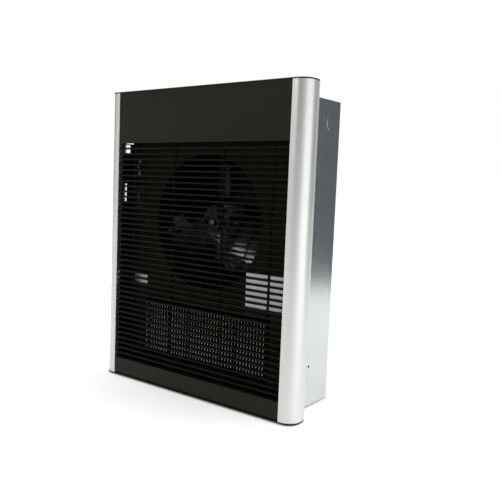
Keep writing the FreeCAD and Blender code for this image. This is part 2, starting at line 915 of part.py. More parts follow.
def fan_blades():
    """Stamped spider with pitched blades whose tips are rounded."""
    body = new_body("fan_blades")
    spider = sketch_on(body, "XZ_Plane", y=fan_rise, z=-fan_plane)
    ring(spider, zero, zero, d.spider_radius)
    ring(spider, zero, zero, d.hub_radius + d.fit_gap)
    pad(body, spider, d.blade_sheet)
    blade = sketch_on(body, "XZ_Plane", y=fan_rise, z=d.blade_sheet / 2 - fan_plane)
    blade.AttachmentOffset = Placement(Vector(), Rotation(Vector(0, -1, 0), d.blade_angle.value))
    bind(blade, "AttachmentOffset.Rotation.Angle", d.blade_angle)
    wide = d.blade_chord / 2
    neck = d.blade_neck / 2
    knee = d.spider_radius + d.blade_root
    tip = d.blade_tip_round
    outline(blade, [
        (-neck, d.blade_root), (neck, d.blade_root), (neck, knee), (wide, knee),
        (wide, blade_tip, tip), (-wide, blade_tip, tip), (-wide, knee), (-neck, knee)])
    wing = pad(body, blade, d.blade_sheet)
    around = body.newObject("PartDesign::PolarPattern", "fan_blade_turns")
    around.Originals = [wing]
    around.Axis = (sketch_on(body, "YZ_Plane", y=fan_rise), ["H_Axis"])
    around.Angle = 360
    bind(around, "Occurrences", d.blade_count)
    body.Tip = around
    return node(body, "fan_blades")


def fan_hub():
    flange_rear = fan_plane + d.hub_flange
    bore = d.shaft_radius + d.fit_gap
    body = turned("fan_hub_turned", zero, fan_rise, [
        (fan_plane - d.hub_front, bore), (fan_plane + d.hub_rear, bore),
        (fan_plane + d.hub_rear, d.hub_radius), (flange_rear, d.hub_radius),
        (flange_rear, d.hub_flange_radius), (fan_plane, d.hub_flange_radius),
        (fan_plane, d.hub_radius), (fan_plane - d.hub_front, d.hub_radius)])
    hole = drum("hub_screw_hole", "z", d.set_screw_radius + d.fit_gap,
                (fan_rise, fan_rise + d.hub_flange_radius), (zero, set_screw_plane))
    return node(cut("fan_hub_drilled", body, [hole]), "fan_hub")


tip_reach = fan_opening - d.blade_room - d.blade_tip_round
tip_side = d.blade_chord / 2 - d.blade_tip_round
blade_tip = d.blade_tip_round + root(tip_reach * tip_reach - tip_side * tip_side)
set_screw_plane = fan_plane + (d.hub_flange + d.hub_rear) / 2
inlet_ring()
fan_blades()
fan_hub()
node(drum("hub_set_screw_solid", "z", d.set_screw_radius,
          (fan_rise + d.shaft_radius + d.set_screw_gap, fan_rise + d.hub_radius),
          (zero, set_screw_plane)), "hub_set_screw")
shaft_span = (fan_plane - d.shaft_tip, strap_front - d.shaft_end_gap)
node(drum("motor_shaft_solid", "y", d.shaft_radius, shaft_span, (zero, fan_rise)), "motor_shaft")


# Shaded-pole motor on its strap.
def motor_screw_places():
    return [(side * d.motor_screw_place, fan_rise) for side in (left, right)]


def motor_holes(name, span):
    return [drum("%s_hole_%d" % (name, index), "y", hole_radius, past(*span), spot)
            for index, spot in enumerate(motor_screw_places())]


def stator():
    """Lamination stack with the rotor's bore above the coil's window."""
    span = (stack_front, stack_rear)
    plate = block("stack_plate", about(zero, d.stack_width), span,
                  (fan_rise - d.stack_under, fan_rise + d.stack_over))
    leg_top = fan_rise - d.stack_under + d.leg_height
    opening = block("stack_window", about(zero, d.coil_width + 2 * d.coil_gap), past(*span),
                    (leg_top, fan_rise - d.window_under))
    bore = drum("stack_bore", "y", d.rotor_bore, past(*span), (zero, fan_rise))
    node(cut("stack_cut", plate, [opening, bore] + motor_holes("stack", span)), "stator_stack")
    leg_low = fan_rise - d.stack_under
    wrap = block("coil_wrap_solid", about(zero, d.coil_width),
                 (stack_front - d.coil_wrap, stack_rear + d.coil_wrap),
                 (leg_low - d.coil_wrap, fan_rise - d.window_under - d.coil_gap))
    leg = block("coil_core", past(*about(zero, d.coil_width)),
                (stack_front - d.coil_gap, stack_rear + d.coil_gap),
                (leg_low - d.coil_gap, leg_top + d.coil_gap))
    node(cut("coil_wound", wrap, [leg]), "motor_coil")


def bearing_bracket(label, face, way):
    """Cast bar across the stack with a boss for the shaft's bearing."""
    outside = face + way * d.bearing_plate
    end = face + way * d.boss_reach
    plate_y = (face, outside) if way > 0 else (outside, face)
    boss_y = (face, end) if way > 0 else (end, face)
    solid = fuse(label + "_solid", [
        block(label + "_bar", about(zero, d.bearing_plate_width), plate_y,
              about(fan_rise, d.bearing_plate_height)),
        drum(label + "_boss", "y", d.boss_radius, boss_y, (zero, fan_rise))])
    bore = drum(label + "_bore", "y", d.bearing_outer + d.fit_gap, past(*boss_y), (zero, fan_rise))
    node(cut(label + "_drilled", solid, [bore] + motor_holes(label, plate_y)), label)
    return turned(label + "_bush", zero, fan_rise, tube_profile(boss_y, bore_running, d.bearing_outer))


def motor_strap():
    """Strap behind the motor with two legs and feet on the heater panel."""
    z = about(fan_rise, d.strap_width)
    rear = strap_front + d.strap_sheet
    leg = strap_half - d.strap_sheet
    foot = strap_half + d.strap_foot
    pieces = [block("strap_bar", (-strap_half, strap_half), (strap_front, rear), z)]
    for name, side in (("left", left), ("right", right)):
        leg_x = (leg, strap_half) if side > 0 else (-strap_half, -leg)
        foot_x = (leg, foot) if side > 0 else (-foot, -leg)
        pieces.append(block("strap_leg_" + name, leg_x, (panel_rear, rear), z))
        pieces.append(block("strap_foot_" + name, foot_x, (panel_rear, panel_rear + d.strap_sheet), z))
    holes = motor_holes("strap", (strap_front, rear))
    holes += [drum("strap_foot_hole_%d" % index, "y", hole_radius,
                   past(panel_rear, panel_rear + d.strap_sheet), spot)
              for index, spot in enumerate(strap_screw_places())]
    return node(cut("strap_drilled", fuse("strap_solid", pieces), holes), "motor_bracket")


stator()
bushes = [bearing_bracket("front_bearing_bracket", stack_front, forward),
          bearing_bracket("rear_bearing_bracket", stack_rear, rearward)]
node(group("bearing_set", bushes), "shaft_bearings")
rotor_profile = tube_profile((stack_front, stack_rear), d.shaft_radius + d.fit_gap,
                             d.rotor_bore - d.rotor_gap)
node(turned("rotor", zero, fan_rise, rotor_profile), "rotor")
motor_strap()
motor_screw_seat = strap_front + d.strap_sheet
node(group("motor_screw_set", [
    screw("motor_screw_%d" % index, "y", forward, motor_screw_seat, spot,
          motor_screw_seat - stack_front + d.bearing_plate)
    for index, spot in enumerate(motor_screw_places())]), "motor_screws")
node(group("strap_screw_set", [
    screw("strap_screw_%d" % index, "y", forward, panel_rear + d.strap_sheet, spot,
          d.strap_sheet + d.panel_sheet)
    for index, spot in enumerate(strap_screw_places())]), "motor_bracket_screws")


# Finned heating element in the panel's window.
fin_front = panel_front - d.fin_lead
tube_plane = fin_front + d.fin_depth / 2
element_low = window_middle - fin_height / 2
fin_half = window_half - d.fin_side_gap


def pass_height(index):
    return (index - (d.pass_count - 1) / 2) * fin_height / d.pass_count + window_middle


passes = [pass_height(index) for index in range(int(d.pass_count.value))]
bend_start = bracket_face + d.element_sheet + d.tube_over
lead_end = bracket_face + d.element_sheet + d.lead_over


def tube_holes(name, span):
    return [drum("%s_tube_hole_%d" % (name, index), "x", d.tube_radius + d.tube_gap, past(*span),
                 (tube_plane, z)) for index, z in enumerate(passes)]


def element_fins():
    body = new_body("element_fin_stack")
    sketch = sketch_on(body, "YZ_Plane", z=-fin_half)
    rectangle(sketch, (fin_front, fin_front + d.fin_depth), (element_low, element_low + fin_height))
    for z in passes:
        ring(sketch, tube_plane, z, d.tube_radius + d.tube_gap)
    fin = pad(body, sketch, d.fin_sheet)
    rows = body.newObject("PartDesign::LinearPattern", "element_fin_rows")
    rows.Originals = [fin]
    rows.Direction = (origin_feature(body, "X_Axis"), [""])
    bind(rows, "Length", 2 * fin_half - d.fin_sheet)
    bind(rows, "Occurrences", d.fin_count)
    body.Tip = rows
    return node(body, "element_fins")


def return_bend(name, x, low, high, side):
    """Half ring that joins two passes of the sheath."""
    obj = doc.addObject("Part::Torus", name)
    bind(obj, "Radius1", (high - low) / 2)
    bind(obj, "Radius2", d.tube_radius)
    obj.Angle3 = 180
    turn = Rotation(Vector(0, 0, 1), Vector(side, 0, 0), Vector(0, side, 0), "XYZ")
    obj.Placement = Placement(Vector(), turn)
    place(obj, x, tube_plane, (low + high) / 2)
    return obj


def element_sheath():
    """One sheathed tube that runs back and forth through the fins."""
    last = len(passes) - 1
    pieces = []
    for index, z in enumerate(passes):
        left = -lead_end if index in (0, last) else -bend_start
        pieces.append(drum("sheath_pass_%d" % index, "x", d.tube_radius, (left, bend_start),
                           (tube_plane, z)))
    for index in range(last):
        side = 1 if index % 2 == 0 else -1
        pieces.append(return_bend("sheath_bend_%d" % index, side * bend_start,
                                  passes[index], passes[index + 1], side))
    return node(fuse("sheath_tube", pieces), "element_sheath")


def element_bracket(label, side):
    """End plate of the element with a flange on the heater panel's rear face."""
    plate_x = (bracket_face, bracket_face + d.element_sheet)
    flange_x = (bracket_face, bracket_face + d.element_sheet + d.element_flange)
    if side < 0:
        plate_x = (-plate_x[1], -plate_x[0])
        flange_x = (-flange_x[1], -flange_x[0])
    z = about(window_middle, window_height)
    flange_y = (panel_rear, panel_rear + d.element_sheet)
    solid = fuse(label + "_solid", [
        block(label + "_plate", plate_x, (panel_rear, fin_front + d.fin_depth), z),
        block(label + "_flange", flange_x, flange_y, z)])
    holes = tube_holes(label, plate_x)
    holes += [drum("%s_screw_hole_%d" % (label, index), "y", hole_radius, past(*flange_y), spot)
              for index, spot in enumerate(element_screw_places()) if (spot[0].value > 0) == (side > 0)]
    return node(cut(label + "_drilled", solid, holes), label)


element_fins()
element_sheath()
element_bracket("left_element_bracket", left)
element_bracket("right_element_bracket", right)
node(group("element_screw_set", [
    screw("element_screw_%d" % index, "y", forward, panel_rear + d.element_sheet, spot,
          d.element_sheet + d.panel_sheet)
    for index, spot in enumerate(element_screw_places())]), "element_screws")
lead_ends = ((tube_plane, passes[0]), (tube_plane, passes[-1]))


def insulator(index, spot):
    span = (-lead_end - d.insulator_length, -lead_end)
    return cut("insulator_%d" % index,
               drum("insulator_solid_%d" % index, "x", d.insulator_radius, span, spot),
               [drum("insulator_bore_%d" % index, "x", d.pin_radius + d.tube_gap, past(*span), spot)])


node(group("insulator_set", [insulator(index, spot) for index, spot in enumerate(lead_ends)]),
     "terminal_insulators")
node(group("terminal_pin_set", [
    drum("terminal_pin_%d" % index, "x", d.pin_radius, (-lead_end - d.pin_length, -lead_end), spot)
    for index, spot in enumerate(lead_ends)]), "terminal_pins")


# Thermostat, power switch and thermal discs on the heater panel.
def thermostat():
    spot = thermostat_place
    bush_front = panel_front - d.bush_reach
    rear = panel_rear + d.thermostat_depth
    solid = fuse("thermostat_solid", [
        block("thermostat_case", about(spot[0], d.thermostat_width), (panel_rear, rear),
              about(spot[1], d.thermostat_height)),
        drum("thermostat_bush", "y", d.bush_radius, (bush_front, panel_rear), spot)])
    spindle_end = panel_rear + d.spindle_hold
    tools = [drum("spindle_bore", "y", d.spindle_radius + d.running_gap,
                  (bush_front - d.cut_over, spindle_end + d.rocker_gap), spot)]
    tools += [drum("thermostat_screw_hole_%d" % index, "y", hole_radius,
                   (panel_rear - d.cut_over, panel_front + d.thermostat_screw_reach + d.rocker_gap), place_)
              for index, place_ in enumerate(thermostat_screw_places())]
    node(cut("thermostat_drilled", solid, tools), "thermostat_body")
    tip = bush_front - d.spindle_proud
    rod = drum("spindle_rod", "y", d.spindle_radius, (tip, spindle_end), spot)
    slot = block("spindle_slot_cut", past(*about(spot[0], 2 * d.spindle_radius)),
                 (tip - d.cut_over, tip + d.spindle_slot_deep), about(spot[1], d.spindle_slot))
    node(cut("spindle_slotted", rod, [slot]), "thermostat_spindle")
    node(group("thermostat_screw_set", [
        screw("thermostat_screw_%d" % index, "y", rearward, panel_front, place_, d.thermostat_screw_reach)
        for index, place_ in enumerate(thermostat_screw_places())]), "thermostat_screws")


def power_switch():
    """Snap-in switch: a bezel on the panel, a case behind it and a rocker on trunnions."""
    x, z = switch_place
    face = panel_front - d.bezel_thick
    pivot = panel_front + d.rocker_sink
    case = fuse("switch_solid", [
        block("switch_case", about(x, d.switch_width), (panel_front, panel_rear + d.switch_depth),
              about(z, d.switch_height)),
        block("switch_bezel", about(x, d.switch_width + 2 * d.bezel_rim), (face, panel_front),
              about(z, d.switch_height + 2 * d.bezel_rim))])
    cavity_half = d.switch_width / 2 - d.switch_wall
    cavity_height = d.switch_height - 2 * d.switch_wall
    cavity = block("switch_cavity", (x - cavity_half, x + cavity_half),
                   (face - d.cut_over, panel_rear + d.rocker_cavity), about(z, cavity_height))
    rocker_half = cavity_half - d.rocker_gap
    trunnion = rocker_half + d.trunnion_length
    socket = drum("switch_sockets", "x", d.trunnion_radius + d.running_gap,
                  (x - trunnion - d.rocker_gap, x + trunnion + d.rocker_gap), (pivot, z))
    node(cut("switch_hollow", case, [cavity, socket]), "switch_body")
    deep = d.bezel_thick + d.rocker_proud + d.rocker_sink
    key = block("rocker_key", (-rocker_half, rocker_half), (-deep, zero),
                about(zero, cavity_height - 2 * d.rocker_end_gap))
    pins = drum("rocker_trunnions", "x", d.trunnion_radius, (-trunnion, trunnion), (zero, zero))
    rocker = fuse("rocker_solid", [key, pins])
    rocker.Placement = Placement(Vector(), Rotation(Vector(1, 0, 0), d.rocker_tilt.value))
    bind(rocker, "Placement.Rotation.Angle", d.rocker_tilt)
    place(rocker, x, pivot, z)
    node(rocker, "switch_rocker")


def thermal_disc(label, x):
    """Round snap disc on the panel's rear face with two push-on tabs."""
    spot = (x, window_middle + window_height / 2 + d.disc_rise)
    rear = panel_rear + d.disc_depth
    pieces = [drum(label + "_case", "y", d.disc_radius, (panel_rear, rear), spot)]
    for index, side in enumerate((left, right)):
        pieces.append(block("%s_tab_%d" % (label, index), about(x + side * d.tab_spread / 2, d.tab_sheet),
                            (rear, rear + d.tab_length), about(spot[1], d.tab_width)))
    return node(fuse(label + "_solid", pieces), label)


thermostat()
power_switch()
thermal_disc("high_limit", d.disc_share * box_half)
thermal_disc("fan_delay", -(d.disc_share * box_half))


# Check every object, then write each piece.
def check_and_write():
    doc.recompute()
    failed = [obj.Label for obj in doc.Objects if "Invalid" in obj.State or "Error" in obj.State]
    for obj in nodes:
        if obj.Shape.isNull() or not obj.Shape.isValid() or not obj.Shape.Solids:
            failed.append(obj.Label)
    if failed:
        raise RuntimeError("failed: " + ", ".join(failed))
    labels = [obj.Label for obj in nodes]
    if len(set(labels)) < len(labels):
        raise RuntimeError("two pieces share a label")
    os.makedirs("parts", exist_ok=True)
    for obj in nodes:
        obj.Shape.exportStep("parts/%s.step" % obj.Label)
        print("%-24s solids %3d  volume %10.1f" % (obj.Label, len(obj.Shape.Solids), obj.Shape.Volume))
    print("pieces", len(nodes))


check_and_write()
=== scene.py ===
import json
import math

import bmesh
import bpy
from mathutils import Matrix, Vector


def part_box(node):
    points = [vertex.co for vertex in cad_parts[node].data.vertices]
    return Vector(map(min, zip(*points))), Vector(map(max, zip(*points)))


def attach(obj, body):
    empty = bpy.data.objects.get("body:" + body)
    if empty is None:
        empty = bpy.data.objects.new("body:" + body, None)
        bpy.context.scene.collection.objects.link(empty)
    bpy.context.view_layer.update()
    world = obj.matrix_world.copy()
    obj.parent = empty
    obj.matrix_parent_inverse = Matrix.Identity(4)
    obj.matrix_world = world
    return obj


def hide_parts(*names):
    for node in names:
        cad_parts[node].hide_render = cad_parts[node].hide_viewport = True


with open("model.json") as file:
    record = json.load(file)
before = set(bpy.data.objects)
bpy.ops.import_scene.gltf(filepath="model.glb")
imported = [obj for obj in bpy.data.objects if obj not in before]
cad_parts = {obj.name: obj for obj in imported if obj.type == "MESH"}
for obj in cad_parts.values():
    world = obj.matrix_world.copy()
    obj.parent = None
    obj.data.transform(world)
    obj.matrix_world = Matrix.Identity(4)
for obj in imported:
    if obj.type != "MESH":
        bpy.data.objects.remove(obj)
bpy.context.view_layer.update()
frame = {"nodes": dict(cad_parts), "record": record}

nodes = frame["nodes"]
scene = bpy.context.scene
print("stage: frame loaded with", len(nodes), "nodes")


# material helpers
def newFinish(name):
    finish = bpy.data.materials.new(name)
    finish.use_nodes = True
    return finish, finish.node_tree, finish.node_tree.nodes["Principled BSDF"]


def addNode(tree, kind, **values):
    made = tree.nodes.new(kind)
    for key, value in values.items():
        setattr(made, key, value)
    return made


def joinMath(tree, operation, first, second):
    made = addNode(tree, "ShaderNodeMath", operation=operation)
    tree.links.new(first, made.inputs[0])
    tree.links.new(second, made.inputs[1])
    return made.outputs[0]


def grain(tree, scale, detail=3.0, stretch=(1, 1, 1)):
    # noise in the part's own metres, stretched per axis
    place = addNode(tree, "ShaderNodeTexCoord")
    fit = addNode(tree, "ShaderNodeMapping")
    fit.inputs["Scale"].default_value = stretch
    noise = addNode(tree, "ShaderNodeTexNoise")
    noise.inputs["Scale"].default_value = scale
    noise.inputs["Detail"].default_value = detail
    tree.links.new(place.outputs["Object"], fit.inputs["Vector"])
    tree.links.new(fit.outputs["Vector"], noise.inputs["Vector"])
    return noise.outputs["Fac"]


def spread(tree, source, low, high, fromLow=0.25, fromHigh=0.75):
    fit = addNode(tree, "ShaderNodeMapRange")
    fit.inputs["From Min"].default_value = fromLow
    fit.inputs["From Max"].default_value = fromHigh
    fit.inputs["To Min"].default_value = low
    fit.inputs["To Max"].default_value = high
    tree.links.new(source, fit.inputs["Value"])
    return fit.outputs["Result"]


def tint(tree, source, dark, light, fromLow=0.3, fromHigh=0.7):
    ramp = addNode(tree, "ShaderNodeValToRGB")
    ramp.color_ramp.elements[0].position = fromLow
    ramp.color_ramp.elements[1].position = fromHigh
    ramp.color_ramp.elements[0].color = (*dark, 1.0)
    ramp.color_ramp.elements[1].color = (*light, 1.0)
    tree.links.new(source, ramp.inputs["Fac"])
    return ramp.outputs["Color"]


def ripple(tree, shader, source, strength, depth):
    bump = addNode(tree, "ShaderNodeBump")
    bump.inputs["Strength"].default_value = strength
    bump.inputs["Distance"].default_value = depth
    tree.links.new(source, bump.inputs["Height"])
    tree.links.new(bump.outputs["Normal"], shader.inputs["Normal"])


def grainedFinish(name, look):
    # one finish: two tints from broad noise, a roughness span and a bump from fine noise
    finish, tree, shader = newFinish(name)
    shader.inputs["Metallic"].default_value = look.get("metal", 0.0)
    shader.inputs["Specular IOR Level"].default_value = look.get("specular", 0.5)
    shader.inputs["Specular Tint"].default_value = (*look.get("sheenTint", (1, 1, 1)), 1)
    fine = grain(tree, look["scale"], stretch=look.get("stretch", (1, 1, 1)))
    broad = grain(tree, look["cloud"], detail=2.0)
    tree.links.new(tint(tree, broad, look["dark"], look["light"]), shader.inputs["Base Color"])
    tree.links.new(spread(tree, fine, *look["rough"]), shader.inputs["Roughness"])
    ripple(tree, shader, fine, look["bump"], look["depth"])
    return finish


finishLooks = {
    "satinRail": dict(metal=1.0, dark=(0.7, 0.717, 0.695), light=(0.765, 0.782, 0.76), scale=1.0,
                      stretch=(1400, 1400, 9), rough=(0.4, 0.5), bump=0.05, depth=0.0001, cloud=5),
    "blackPaint": dict(specular=0.2, sheenTint=(0.98, 1.0, 0.72), dark=(0.016, 0.0166, 0.0125),
                       light=(0.0195, 0.0202, 0.0155), scale=2600,
                       rough=(0.42, 0.56), bump=0.12, depth=0.00012, cloud=9),
    "blackBar": dict(specular=0.1, sheenTint=(0.97, 1.0, 0.55), dark=(0.005, 0.0052, 0.0036),
                     light=(0.0068, 0.007, 0.005), scale=2200,
                     rough=(0.4, 0.55), bump=0.1, depth=0.0001, cloud=12),
    "darkSheet": dict(specular=0.2, sheenTint=(0.97, 1.0, 0.6), dark=(0.0052, 0.0054, 0.0038),
                      light=(0.0074, 0.0076, 0.0056), scale=2400,
                      rough=(0.5, 0.65), bump=0.1, depth=0.0001, cloud=10),
    "zincScrew": dict(metal=1.0, dark=(0.62, 0.61, 0.57), light=(0.74, 0.73, 0.7), scale=1800,
                      rough=(0.28, 0.42), bump=0.05, depth=0.0001, cloud=300),
    "blackScrew": dict(dark=(0.012, 0.012, 0.012), light=(0.022, 0.022, 0.021), scale=2600,
                       rough=(0.35, 0.5), bump=0.08, depth=0.0001, cloud=200),
    "greenScrew": dict(dark=(0.03, 0.2, 0.06), light=(0.05, 0.28, 0.09), scale=2000,
                       rough=(0.35, 0.5), bump=0.06, depth=0.0001, cloud=200),
    "mouldedBlack": dict(dark=(0.014, 0.014, 0.014), light=(0.02, 0.02, 0.02), scale=3200,
                         rough=(0.45, 0.6), bump=0.15, depth=0.0001, cloud=40),
    "polishedBlack": dict(dark=(0.012, 0.012, 0.012), light=(0.016, 0.016, 0.016), scale=900,
                          rough=(0.18, 0.26), bump=0.03, depth=0.0001, cloud=60),
    "terminalBrass": dict(metal=1.0, dark=(0.6, 0.43, 0.17), light=(0.72, 0.55, 0.26), scale=1600,
                          rough=(0.25, 0.4), bump=0.05, depth=0.0001, cloud=160),
    "blankPlate": dict(metal=1.0, dark=(0.62, 0.62, 0.6), light=(0.7, 0.7, 0.68), scale=1400,
                       rough=(0.3, 0.4), bump=0.04, depth=0.0001, cloud=40),
    "lamination": dict(metal=1.0, dark=(0.16, 0.16, 0.17), light=(0.26, 0.26, 0.27), scale=1.0,
                       stretch=(2, 2600, 2), rough=(0.45, 0.65), bump=0.4, depth=0.0002, cloud=30),
    "coilTape": dict(dark=(0.02, 0.014, 0.008), light=(0.04, 0.028, 0.015), scale=900,
                     rough=(0.35, 0.5), bump=0.2, depth=0.0002, cloud=60),
    "castMetal": dict(metal=1.0, dark=(0.032, 0.032, 0.031), light=(0.05, 0.05, 0.048), scale=1500,
                      rough=(0.45, 0.62), bump=0.25, depth=0.0002, cloud=50),
    "sinteredBronze": dict(metal=1.0, dark=(0.42, 0.28, 0.12), light=(0.55, 0.38, 0.19), scale=4000,
                           rough=(0.45, 0.6), bump=0.2, depth=0.0001, cloud=90),
    "groundSteel": dict(metal=1.0, dark=(0.15, 0.15, 0.147), light=(0.22, 0.22, 0.215), scale=1.0,
                        stretch=(60, 3000, 60), rough=(0.22, 0.36), bump=0.08, depth=0.0001, cloud=60),
    "millAluminium": dict(metal=1.0, dark=(0.28, 0.285, 0.255), light=(0.37, 0.375, 0.34), scale=1.0,
                          stretch=(900, 60, 60), rough=(0.16, 0.26), bump=0.06, depth=0.0001, cloud=60),
    # the fin metal darkened: painted shade on the faces between the fins
    "shadedFinSheet": dict(metal=1.0, dark=(0.034, 0.034, 0.028), light=(0.055, 0.055, 0.046), scale=1.0,
                     stretch=(900, 60, 60), rough=(0.34, 0.48), bump=0.08, depth=0.0001, cloud=30),
    "bluedSteel": dict(metal=1.0, dark=(0.03, 0.03, 0.029), light=(0.037, 0.037, 0.036), scale=60,
                       rough=(0.17, 0.21), bump=0.01, depth=0.0001, cloud=20),
    "annealedSteel": dict(metal=1.0, dark=(0.24, 0.21, 0.19), light=(0.4, 0.37, 0.35), scale=800,
                          rough=(0.4, 0.56), bump=0.1, depth=0.0001, cloud=35),
    "ceramic": dict(dark=(0.68, 0.65, 0.58), light=(0.78, 0.75, 0.69), scale=2600,
                    rough=(0.5, 0.65), bump=0.12, depth=0.0001, cloud=120),
}
finishes = {name: grainedFinish(name, look) for name, look in finishLooks.items()}

zincLook = dict(
    dark=(0.6, 0.627, 0.63), light=(0.66, 0.687, 0.69), shades=(0.2, 0.8), rough=(0.2, 0.27),
    spangle=420.0, haze=9.0, hazeShare=0.72,  # crystal size, and how far broad haze covers it
    wave=220.0, bump=0.08, depth=0.0002,
    # near-black for the box's inner faces: painted shade inside the box, whose sheet is bare zinc there as
    # well
    paintedShadeDark=(0.0084, 0.0084, 0.0084), paintedShadeLight=(0.012, 0.012, 0.012), skin=0.0003)


def insideMask(tree, low, high):
    # 1 between the two corners, from the part's own coordinates
    place = addNode(tree, "ShaderNodeTexCoord")
    split = addNode(tree, "ShaderNodeSeparateXYZ")
    tree.links.new(place.outputs["Object"], split.inputs["Vector"])
    total = None
    for axis, start, end in zip("XYZ", low, high):
        near = addNode(tree, "ShaderNodeMath", operation="COMPARE")
        near.inputs[1].default_value = (start + end) / 2
        near.inputs[2].default_value = (end - start) / 2
        tree.links.new(split.outputs[axis], near.inputs[0])
        total = joinMath(tree, "MULTIPLY", total, near.outputs[0]) if total else near.outputs[0]
    return total


def galvanised(name, paintedShadeInside=None):
    # zinc spangle: flat crystal patches with their own shade and gloss
    finish, tree, shader = newFinish(name)
    shader.inputs["Metallic"].default_value = 1.0
    place = addNode(tree, "ShaderNodeTexCoord")
    cells = addNode(tree, "ShaderNodeTexVoronoi")
    cells.inputs["Scale"].default_value = zincLook["spangle"]
    tree.links.new(place.outputs["Object"], cells.inputs["Vector"])
    split = addNode(tree, "ShaderNodeSeparateColor")
    tree.links.new(cells.outputs["Color"], split.inputs["Color"])
    haze = grain(tree, zincLook["haze"])
    blend = addNode(tree, "ShaderNodeMix", data_type="FLOAT")
    blend.inputs[0].default_value = zincLook["hazeShare"]
    tree.links.new(split.outputs["Red"], blend.inputs[2])  # number sockets A and B
    tree.links.new(haze, blend.inputs[3])
    shade = tint(tree, blend.outputs[0], zincLook["dark"], zincLook["light"], *zincLook["shades"])
    # the inner faces take the near-black colour: painted shade, the sheet itself is the same zinc inside
    if paintedShadeInside:
        shadeBlend = addNode(tree, "ShaderNodeMix", data_type="RGBA")
        paintedShade = tint(tree, haze, zincLook["paintedShadeDark"], zincLook["paintedShadeLight"])
        tree.links.new(insideMask(tree, *paintedShadeInside), shadeBlend.inputs[0])
        tree.links.new(shade, shadeBlend.inputs[6])  # colour sockets A and B
        tree.links.new(paintedShade, shadeBlend.inputs[7])
        shade = shadeBlend.outputs[2]
    tree.links.new(shade, shader.inputs["Base Color"])
    gloss = spread(tree, split.outputs["Green"], *zincLook["rough"], fromLow=0.0, fromHigh=1.0)
    tree.links.new(gloss, shader.inputs["Roughness"])
    ripple(tree, shader, grain(tree, zincLook["wave"], detail=2.0), zincLook["bump"], zincLook["depth"])
    return finish


finishes["galvanisedSheet"] = galvanised("galvanisedSheet")
# the wall box's finish darkens its inner faces as painted shade
boxLow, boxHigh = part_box("wall_box")
skin = Vector([zincLook["skin"]] * 3)
finishes["boxSheetShadedInside"] = galvanised("boxSheetShadedInside", (boxLow + skin, boxHigh - skin))
slotFinish = {
    "satin_aluminium": "satinRail", "black_paint": "blackPaint", "black_bar": "blackBar",
    "dark_sheet": "darkSheet", "black_screw": "blackScrew", "galvanised": "galvanisedSheet",
    "zinc_screw": "zincScrew", "green_screw": "greenScrew", "black_plastic": "mouldedBlack",
    "gloss_plastic_black": "polishedBlack", "terminal_brass": "terminalBrass",
    "blank_plate": "blankPlate", "lamination": "lamination", "coil_tape": "coilTape",
    "cast_metal": "castMetal", "bearing_bronze": "sinteredBronze", "shaft_steel": "groundSteel",
    "dark_steel": "bluedSteel", "bare_aluminium": "millAluminium", "sheath_steel": "annealedSteel",
    "ceramic": "ceramic"}


def dress(piece, finish):
    piece.data.materials.clear()
    piece.data.materials.append(finish)


slotOf = {row["node"]: row["material_slot"] for row in frame["record"]["subparts"]}
bodyOf = {name: body for body, names in frame["record"]["behaviour"]["bodies"].items() for name in names}
finishOf = {name: finishes[slotFinish[slot]] for name, slot in slotOf.items()}
finishOf["wall_box"] = finishes["boxSheetShadedInside"]
for name, piece in nodes.items():
    dress(piece, finishOf[name])
print("stage: finishes on every node")

# mesh helpers
formLook = dict(weld=1e-6, flat=math.radians(1), sliver=2e-6, shade=math.radians(32))


def copyForm(name, joinFlats=True):
    form = bmesh.new()
    form.from_mesh(nodes[name].data)
    bmesh.ops.remove_doubles(form, verts=form.verts, dist=formLook["weld"])
    if joinFlats:
        bmesh.ops.dissolve_limit(form, angle_limit=formLook["flat"], verts=form.verts, edges=form.edges)
    return form


def addPiece(label, name, form, finish):
    # a new piece that stands for a node, on the node's body, in the finish given
    bmesh.ops.recalc_face_normals(form, faces=form.faces)
    mesh = bpy.data.meshes.new(label)
    form.to_mesh(mesh)
    form.free()
    piece = bpy.data.objects.new(label, mesh)
    scene.collection.objects.link(piece)
    dress(piece, finish)
    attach(piece, bodyOf[name])
    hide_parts(name)
    return piece


def shadeSmooth(piece):
    piece.data.shade_smooth()
    piece.data.set_sharp_from_angle(angle=formLook["shade"])


# the rails' front corner is drawn on a larger arc than the solid's, up to 1.3 mm inside it
solidCorner = dict(front=-0.14, flat=0.193373, radius=0.016, side=(0.164994, -0.11803), sideRadius=0.045,
                   near=2e-5, slack=0.01)  # how exactly a point has to lie on the arcs
railArc = dict(flat=0.18987, radius=0.02005, end=math.radians(85.6))  # end: where it meets the side
plateArc = dict(flat=0.1915, radius=0.01824, end=math.radians(82.0))


def roundCorner(form, flat, radius, end):
    # each point of the solid's corner goes to the point of the new arc with the same slope
    front = solidCorner["front"]
    arcs = (((solidCorner["flat"], front + solidCorner["radius"]), solidCorner["radius"]),
            (solidCorner["side"], solidCorner["sideRadius"]))
    for vert in form.verts:
        for (middleX, middleY), reach in arcs:
            arm = Vector((abs(vert.co.x) - middleX, vert.co.y - middleY))
            turn = math.atan2(arm.x, -arm.y)
            if abs(arm.length - reach) < solidCorner["near"] and -solidCorner["slack"] < turn < end:
                vert.co.x = math.copysign(flat + radius * math.sin(turn), vert.co.x)
                vert.co.y = front + radius * (1 - math.cos(turn))
                break


